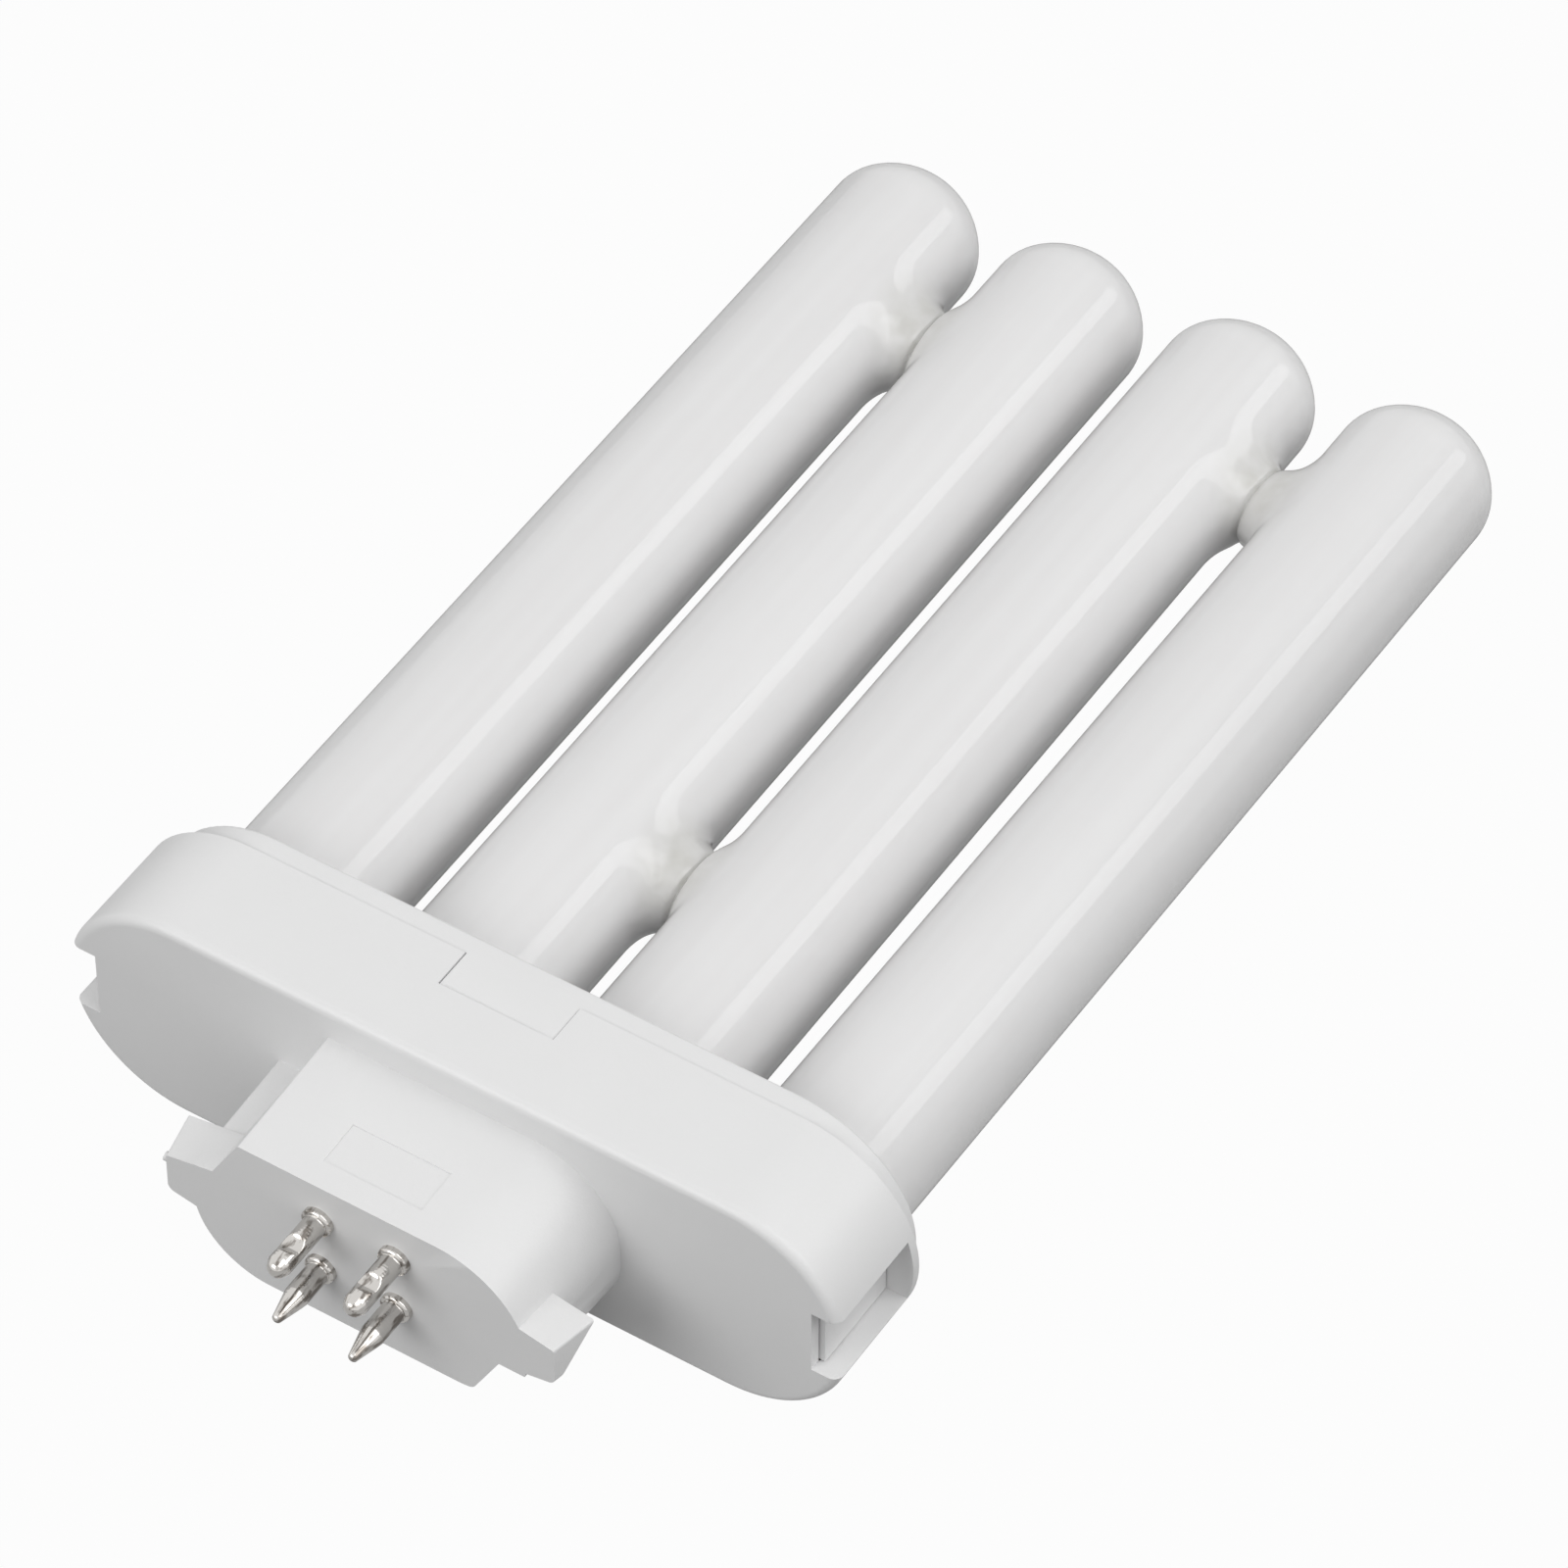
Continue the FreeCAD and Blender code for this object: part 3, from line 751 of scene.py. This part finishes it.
def brightNickel():
    # Brass turned and plated with bright nickel: a warm grey mirror with dark brown-grey streaks
    # about 1 mm apart painted into its colour as painted reflections of dark surroundings, softened
    # by the fine rings that the turning tool left, about 0.05 mm apart and drawn at 0.15 mm.
    material = newMaterial("brightNickelPlate")
    place = addNode(material, "ShaderNodeTexCoord")
    rings = addNode(
        material,
        "ShaderNodeTexWave",
        {
            "wave_type": "BANDS",
            "bands_direction": "Y",
            "Scale": 1000.0,
            "Distortion": 1.5,
            "Detail": 2.0,
        },
        {"Vector": place.outputs["Object"]},
    )
    stain = addNode(
        material,
        "ShaderNodeTexNoise",
        {"Scale": 900.0, "Detail": 3.0},
        {"Vector": place.outputs["Object"]},
    )
    rough = addNode(
        material,
        "ShaderNodeMapRange",
        {"From Min": 0.3, "From Max": 0.7, "To Min": 0.07, "To Max": 0.2},
        {"Value": stain.outputs["Fac"]},
    )
    bump = addNode(
        material,
        "ShaderNodeBump",
        {"Strength": 0.15, "Distance": 0.02 * mm},
        {"Height": rings.outputs["Fac"]},
    )
    stretchedPlace = addNode(
        material,
        "ShaderNodeMapping",
        {"Scale": (1.0, 0.3, 1.0)},
        {"Vector": place.outputs["Object"]},
    )
    reflectionStreakNoise = addNode(
        material,
        "ShaderNodeTexNoise",
        {"Scale": 1500.0, "Detail": 3.0},
        {"Vector": stretchedPlace.outputs["Vector"]},
    )
    paintedReflectionMask = addNode(
        material,
        "ShaderNodeMapRange",
        {"From Min": 0.5, "From Max": 0.62},
        {"Value": reflectionStreakNoise.outputs["Fac"]},
    )
    # Painted reflection: where the stretched noise is high, the colour is mixed to dark #86807A,
    # standing in for reflections of dark surroundings.
    metal = addNode(material, "ShaderNodeMix", {"data_type": "RGBA"}, {0: paintedReflectionMask.outputs["Result"]})
    metal.inputs[6].default_value = linearColour("#D2CFCB")
    metal.inputs[7].default_value = linearColour("#86807A")
    shader = addNode(
        material,
        "ShaderNodeBsdfPrincipled",
        {"Metallic": 1.0},
        {
            "Base Color": metal.outputs[2],
            "Roughness": rough.outputs["Result"],
            "Normal": bump.outputs["Normal"],
        },
    )
    return finishMaterial(material, shader)


def makePins():
    # Numbered as in the CAD: left upper, left lower, right upper, right lower.
    material = brightNickel()
    number = 0
    for sideX in (-1, 1):
        for sideZ in (1, -1):
            number += 1
            name = "contactPin%d" % number
            points = pinGrid(sideX * pin["spacingX"] / 2, sideZ * pin["spacingZ"] / 2)
            mesh = finishMesh(meshFromGrid(name, points, True, material), 0.0005)
            mesh.set_sharp_from_angle(angle=math.radians(pin["sharpAngle"]))
            addPiece(name, mesh, ["contact_pin_%d" % number])
    print("contact pins made:", number)


makePins()


# Pieces inside the cap keep their CAD meshes

def bakedCement():
    # Mineral cement, baked in the holder's sockets: dull, pale and slightly gritty, with grains
    # of about 0.3 mm.
    material = newMaterial("bakedSocketCement")
    place = addNode(material, "ShaderNodeTexCoord")
    grit = addNode(
        material,
        "ShaderNodeTexNoise",
        {"Scale": 3000.0, "Detail": 4.0},
        {"Vector": place.outputs["Object"]},
    )
    tint = addNode(material, "ShaderNodeMix", {"data_type": "RGBA"}, {0: grit.outputs["Fac"]})
    tint.inputs[6].default_value = linearColour("#CFC9BC")
    tint.inputs[7].default_value = linearColour("#DED9CE")
    bump = addNode(
        material,
        "ShaderNodeBump",
        {"Strength": 0.5, "Distance": 0.1 * mm},
        {"Height": grit.outputs["Fac"]},
    )
    shader = addNode(
        material,
        "ShaderNodeBsdfPrincipled",
        {"Roughness": 0.9},
        {"Base Color": tint.outputs[2], "Normal": bump.outputs["Normal"]},
    )
    return finishMaterial(material, shader)


def drawnNickelWire():
    # Nickel-plated iron wire drawn through a die: a grey metal gleam with a faint variation along
    # its length.
    material = newMaterial("drawnNickelWire")
    place = addNode(material, "ShaderNodeTexCoord")
    marks = addNode(
        material,
        "ShaderNodeTexNoise",
        {"Scale": 1500.0, "Detail": 2.0},
        {"Vector": place.outputs["Object"]},
    )
    rough = addNode(
        material,
        "ShaderNodeMapRange",
        {"To Min": 0.28, "To Max": 0.42},
        {"Value": marks.outputs["Fac"]},
    )
    shader = addNode(
        material,
        "ShaderNodeBsdfPrincipled",
        {"Base Color": linearColour("#B9B4AB"), "Metallic": 1.0},
        {"Roughness": rough.outputs["Result"]},
    )
    return finishMaterial(material, shader)


def finishInnerPieces():
    # Gives the carried-over CAD nodes their materials.
    cement = bakedCement()
    wire = drawnNickelWire()
    for name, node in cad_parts.items():
        if name.startswith("socket_cement") or name.startswith("lead_wire"):
            node.data.materials.clear()
            node.data.materials.append(cement if name.startswith("socket") else wire)
    print("inner pieces finished")


finishInnerPieces()


# Floor, light and camera

studio = {
    "floorZ": -12.1,
    "floorSize": 4000,
    "floorShadow": 0.03,       # how much of the real shadow the white floor keeps
    "glossShadow": 0.5,        # and how much of it a gloss shows
    "worldLevel": 0.56,
}

# Each softbox has its centre and its size in metres and the direction in which it shines.
softboxes = {
    "topSoftbox": {
        "place": (0.75, 0.06, 1.15),
        "size": (1.2, 0.9),
        "shines": (-0.75, 0, -1.15),
        "power": 4.5,
    },
    "rightSoftbox": {
        "place": (1.0, 0.8, 0.80),
        "size": (2.0, 0.6),
        "shines": (-1, 0, 0),
        "power": 6.2,
    },
    "frontSoftbox": {
        "place": (-0.45, -0.95, 0.72),
        "size": (0.9, 0.7),
        "shines": (0.3, 1, -0.6),
        "power": 5.6,
    },
}

view = {
    "azimuth": 32.733,
    "elevation": 47.592,
    "distance": 801.32,
    "lens": 207.30,
    "sensor": 36.0,
    "target": (4.877, 60.0, 8.627),
}


def whiteSheet():
    # Matt white paper sweep: plain white where the camera, a gloss or clear glass sees it, with
    # part of the object's shadow kept.
    material = newMaterial("whitePaperSweep")
    paper = addNode(material, "ShaderNodeBsdfDiffuse", {"Color": linearColour("#707070")})
    glow = addNode(material, "ShaderNodeEmission", {"Color": (1.0, 1.0, 1.0, 1.0), "Strength": 1.0})
    rays = addNode(material, "ShaderNodeLightPath")
    clear = addNode(
        material,
        "ShaderNodeMath",
        {"operation": "MAXIMUM"},
        {0: rays.outputs["Is Camera Ray"], 1: rays.outputs["Is Transmission Ray"]},
    )
    direct = addNode(
        material,
        "ShaderNodeMath",
        {"operation": "MULTIPLY", 1: 1 - studio["floorShadow"]},
        {0: clear.outputs[0]},
    )
    gloss = addNode(
        material,
        "ShaderNodeMath",
        {"operation": "MULTIPLY", 1: 1 - studio["glossShadow"]},
        {0: rays.outputs["Is Glossy Ray"]},
    )
    share = addNode(
        material,
        "ShaderNodeMath",
        {"operation": "MAXIMUM"},
        {0: direct.outputs[0], 1: gloss.outputs[0]},
    )
    shader = addNode(
        material,
        "ShaderNodeMixShader",
        links={0: share.outputs[0], 1: paper.outputs[0], 2: glow.outputs[0]},
    )
    return finishMaterial(material, shader)


def makeFloor():
    # The paper lies level with the underside of the cap, on which the lamp rests.
    half = studio["floorSize"] / 2
    points = np.array([[(-half, -half), (-half, half)], [(half, -half), (half, half)]], float)
    points = np.concatenate([points, np.full((2, 2, 1), studio["floorZ"])], -1)
    mesh = meshFromGrid("paperSweep", points, False, whiteSheet())
    floor = bpy.data.objects.new("paperSweep", mesh)
    bpy.context.scene.collection.objects.link(floor)


def makeLights():
    # An even white world, at full strength where a gloss shows it, and three softboxes.
    world = bpy.data.worlds.new("softStudio")
    world.use_nodes = True
    background = world.node_tree.nodes["Background"]
    background.inputs["Color"].default_value = (1.0, 1.0, 1.0, 1.0)
    path = addNode(world, "ShaderNodeLightPath")
    level = addNode(
        world,
        "ShaderNodeMapRange",
        {"To Min": studio["worldLevel"], "To Max": 1.0},
        {"Value": path.outputs["Is Glossy Ray"]},
    )
    world.node_tree.links.new(level.outputs["Result"], background.inputs["Strength"])
    bpy.context.scene.world = world
    for name, softbox in softboxes.items():
        lamp = bpy.data.lights.new(name, "AREA")
        lamp.energy = softbox["power"]
        lamp.shape = "RECTANGLE"
        lamp.size = softbox["size"][0]
        lamp.size_y = softbox["size"][1]
        holder = bpy.data.objects.new(name, lamp)
        holder.location = softbox["place"]
        holder.rotation_euler = Vector(softbox["shines"]).to_track_quat("-Z", "Y").to_euler()
        bpy.context.scene.collection.objects.link(holder)


def makeCamera():
    # The viewing angle of the photograph.
    across = math.radians(view["azimuth"])
    up = math.radians(view["elevation"])
    target = Vector(view["target"]) * mm
    level = math.cos(up)
    back = Vector((math.sin(across) * level, -math.cos(across) * level, math.sin(up)))
    data = bpy.data.cameras.new("photoCamera")
    data.lens = view["lens"]
    data.sensor_width = view["sensor"]
    camera = bpy.data.objects.new("photoCamera", data)
    camera.location = target + back * view["distance"] * mm
    camera.rotation_euler = (-back).to_track_quat("-Z", "Y").to_euler()
    bpy.context.scene.collection.objects.link(camera)
    bpy.context.scene.camera = camera


makeFloor()
makeLights()
makeCamera()
bpy.context.scene.view_settings.view_transform = "Standard"
print("studio made")
